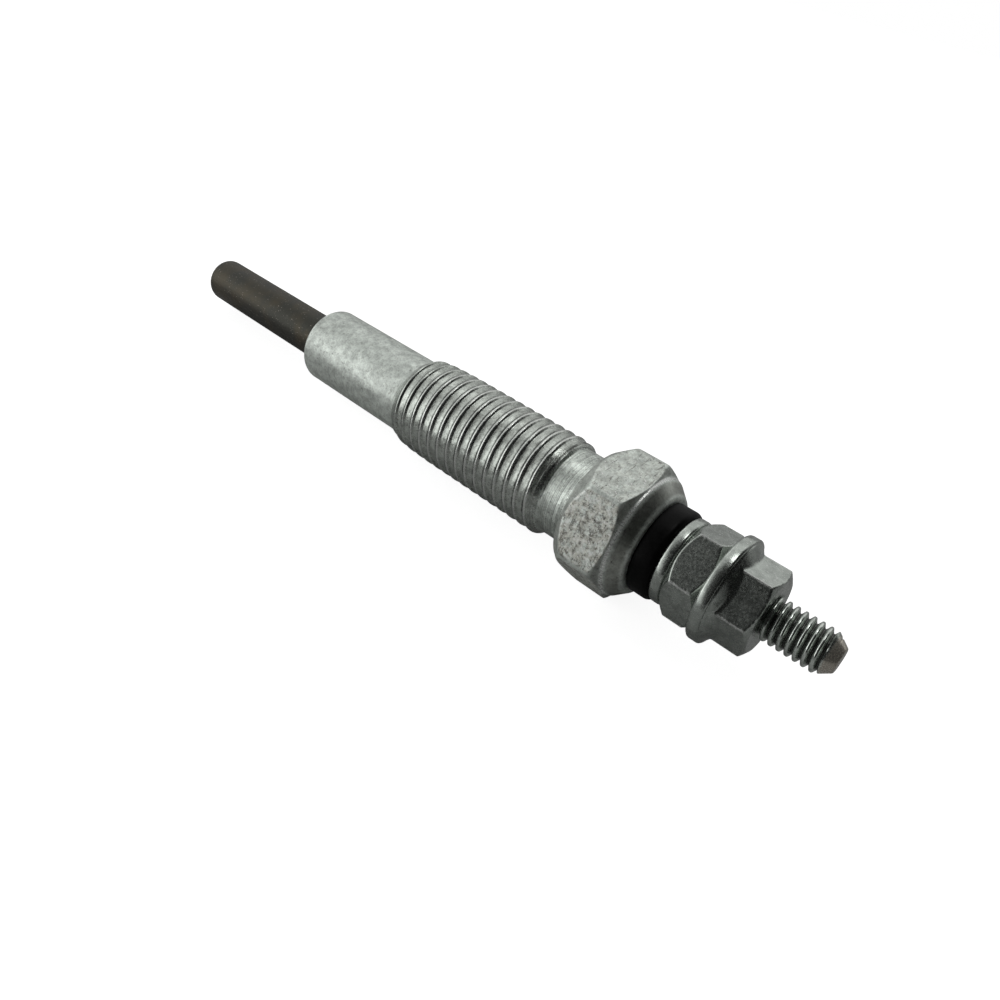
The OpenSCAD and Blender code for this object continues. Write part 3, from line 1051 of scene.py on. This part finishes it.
def makeFlangeNut():
    # turned as a blank, then pressed to the hex and to the skirt that runs down to the rim
    low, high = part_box("flange_nut")
    xa = low.x / mm
    xb = high.x / mm
    sink = bothNuts["mouth"] - bothNuts["thread"]
    edgeRound = bothNuts["edgeRound"]
    thick = flangeNut["rimThick"]
    rim = flangeNut["rim"]
    top = rim - flangeNut["rimRound"]
    blankTop = top - flangeNut["blankGap"]
    bm = bmesh.new()
    outline = [(xa, bothNuts["mouth"], edgeRound), (xa, rim, flangeNut["frontRound"]),
               (xa + thick, rim, flangeNut["rimRound"]), (xa + thick, blankTop, 0), (xb, blankTop, 0),
               (xb, flangeNut["face"], edgeRound), (xb, bothNuts["mouth"], edgeRound),
               (xb - sink, bothNuts["thread"], 0), (xa + sink, bothNuts["thread"], 0)]
    drawWire(bm, outline, closed=True)
    margin = flangeNut["margin"]
    divideWire(bm, flangeNut["divide"], xa + thick - margin, xb + margin, bothNuts["core"])
    spinRound(bm, flangeNut["columns"])
    rise = math.tan(math.radians(flangeNut["slope"]))
    chamfer = math.tan(math.radians(flangeNut["chamfer"]))
    for vert in bm.verts:
        radius = radiusOf(vert)
        along = vert.co.x / mm - xa
        if along > thick + flangeNut["above"] and radius > bothNuts["core"]:
            side = hexRadius(angleOf(vert), flangeNut["flats"], corner=0)
            side = softMin(side, flangeNut["face"] + (xb - xa - along) / chamfer, flangeNut["soft"])
            skirt = top - (along - thick) / rise
            setRadius(vert, min(softMax(side, skirt, flangeNut["skirtSoft"]), radius))
    turnPiece(bm, flangeNut["turn"])
    addPiece("flangeNut", bm, nutZinc, "flange_nut")


makeHexNut()
makeFlangeNut()


# The pieces inside keep their own solids and get a finish
innerFinish = {
    "heating_coil": coilWire,
    "regulating_coil": coilWire,
    "magnesia_fill": fillPowder,
    "sheath_seal": sealRubber,
    "body_seal": sealRubber,
}
for node, material in innerFinish.items():
    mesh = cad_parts[node].data
    mesh.materials.clear()
    mesh.materials.append(material)
print("inner pieces finished")


# Pale floor and a pale room, dark on one side and brighter on another, with window and ceiling lights
studio = {
    "floorHalf": 0.2,  # in metres, as the lights are
    "floorTilt": 2.82,  # the plug rests on its hex and the front of its thread
    "floorFoot": 17.9,  # in mm, where the hex meets the floor
    "floorGap": 0.02,
    "floorColour": (0.56, 0.56, 0.56, 1),
    "floorRough": 0.95,
    "floorGlow": 0.9,
    "darkSide": (0.8, -0.4, 0.43),
    "roomEdge": (0.34, -0.06),
    "roomDark": 0.01,
    "roomBright": 0.9,
    "roomFade": (-0.3, -0.8, 1.0, 0.6),
    "brightSide": (-0.6, -0.79, 0.1),
    "sideGain": (0.55, 0.95, 1.0, 2.2),
    "backdrop": 1.0,
    "white": (1, 1, 1, 1),
    "lightAim": (0.0, 0.0, 0.006),
    "lights": [
        ("window", (-0.26, 0.22, 0.30), (0.16, 0.1), 0.05),
        ("ceiling", (0.03, 0.12, 0.38), (0.12, 0.12), 0.2),
    ],
}


def seenByCamera(tree):
    return addNode(tree, "ShaderNodeLightPath").outputs["Is Camera Ray"]


def makeFloor():
    tilt = math.radians(studio["floorTilt"])
    rise = math.tan(tilt) * studio["floorFoot"] * mm
    bm = bmesh.new()
    bmesh.ops.create_grid(bm, x_segments=1, y_segments=1, size=studio["floorHalf"])
    bmesh.ops.rotate(bm, verts=bm.verts, cent=(0, 0, 0), matrix=Matrix.Rotation(tilt, 3, "Y"))
    bmesh.ops.translate(bm, verts=bm.verts, vec=(0, 0, rise - studio["floorGap"] * mm))
    mesh = bpy.data.meshes.new("floor")
    bm.to_mesh(mesh)
    bm.free()
    material = bpy.data.materials.new("floorPale")
    material.use_nodes = True
    tree = material.node_tree
    glow = times(tree, seenByCamera(tree), studio["floorGlow"])
    fillInputs(tree, tree.nodes["Principled BSDF"], {
        "Base Color": studio["floorColour"],
        "Roughness": studio["floorRough"],
        "Specular IOR Level": 0.0,
        "Emission Color": studio["white"],
        "Emission Strength": glow,
    })
    mesh.materials.append(material)
    floor = bpy.data.objects.new("floor", mesh)
    bpy.context.scene.collection.objects.link(floor)


def addLight(name, place, size, power):
    data = bpy.data.lights.new(name, "AREA")
    data.shape = "RECTANGLE"
    data.size = size[0]
    data.size_y = size[1]
    data.energy = power
    light = bpy.data.objects.new(name, data)
    bpy.context.scene.collection.objects.link(light)
    light.location = place
    light.visible_camera = False
    toward = Vector(studio["lightAim"]) - light.location
    light.rotation_euler = toward.to_track_quat("-Z", "Y").to_euler()


def nearSide(tree, way, side):
    # how far a direction points to one side of the room
    node = addNode(tree, "ShaderNodeVectorMath", {0: way, 1: side}, operation="DOT_PRODUCT")
    return node.outputs["Value"]


def lightRoom():
    world = bpy.data.worlds.new("studio")
    world.use_nodes = True
    tree = world.node_tree
    way = addNode(tree, "ShaderNodeTexCoord").outputs["Generated"]
    facing = nearSide(tree, way, studio["darkSide"])
    beside = nearSide(tree, way, studio["brightSide"])
    room = mapRange(tree, facing, *studio["roomEdge"], studio["roomDark"], studio["roomBright"], True)
    room = times(tree, room, mapRange(tree, facing, *studio["roomFade"]))
    room = times(tree, room, mapRange(tree, beside, *studio["sideGain"], True))
    strength = mapRange(tree, seenByCamera(tree), 0.0, 1.0, room, studio["backdrop"])
    fillInputs(tree, tree.nodes["Background"], {"Color": studio["white"], "Strength": strength})
    bpy.context.scene.world = world
    bpy.context.scene.view_settings.view_transform = "Standard"


makeFloor()
for lightRow in studio["lights"]:
    addLight(*lightRow)
lightRoom()
print("studio lit")
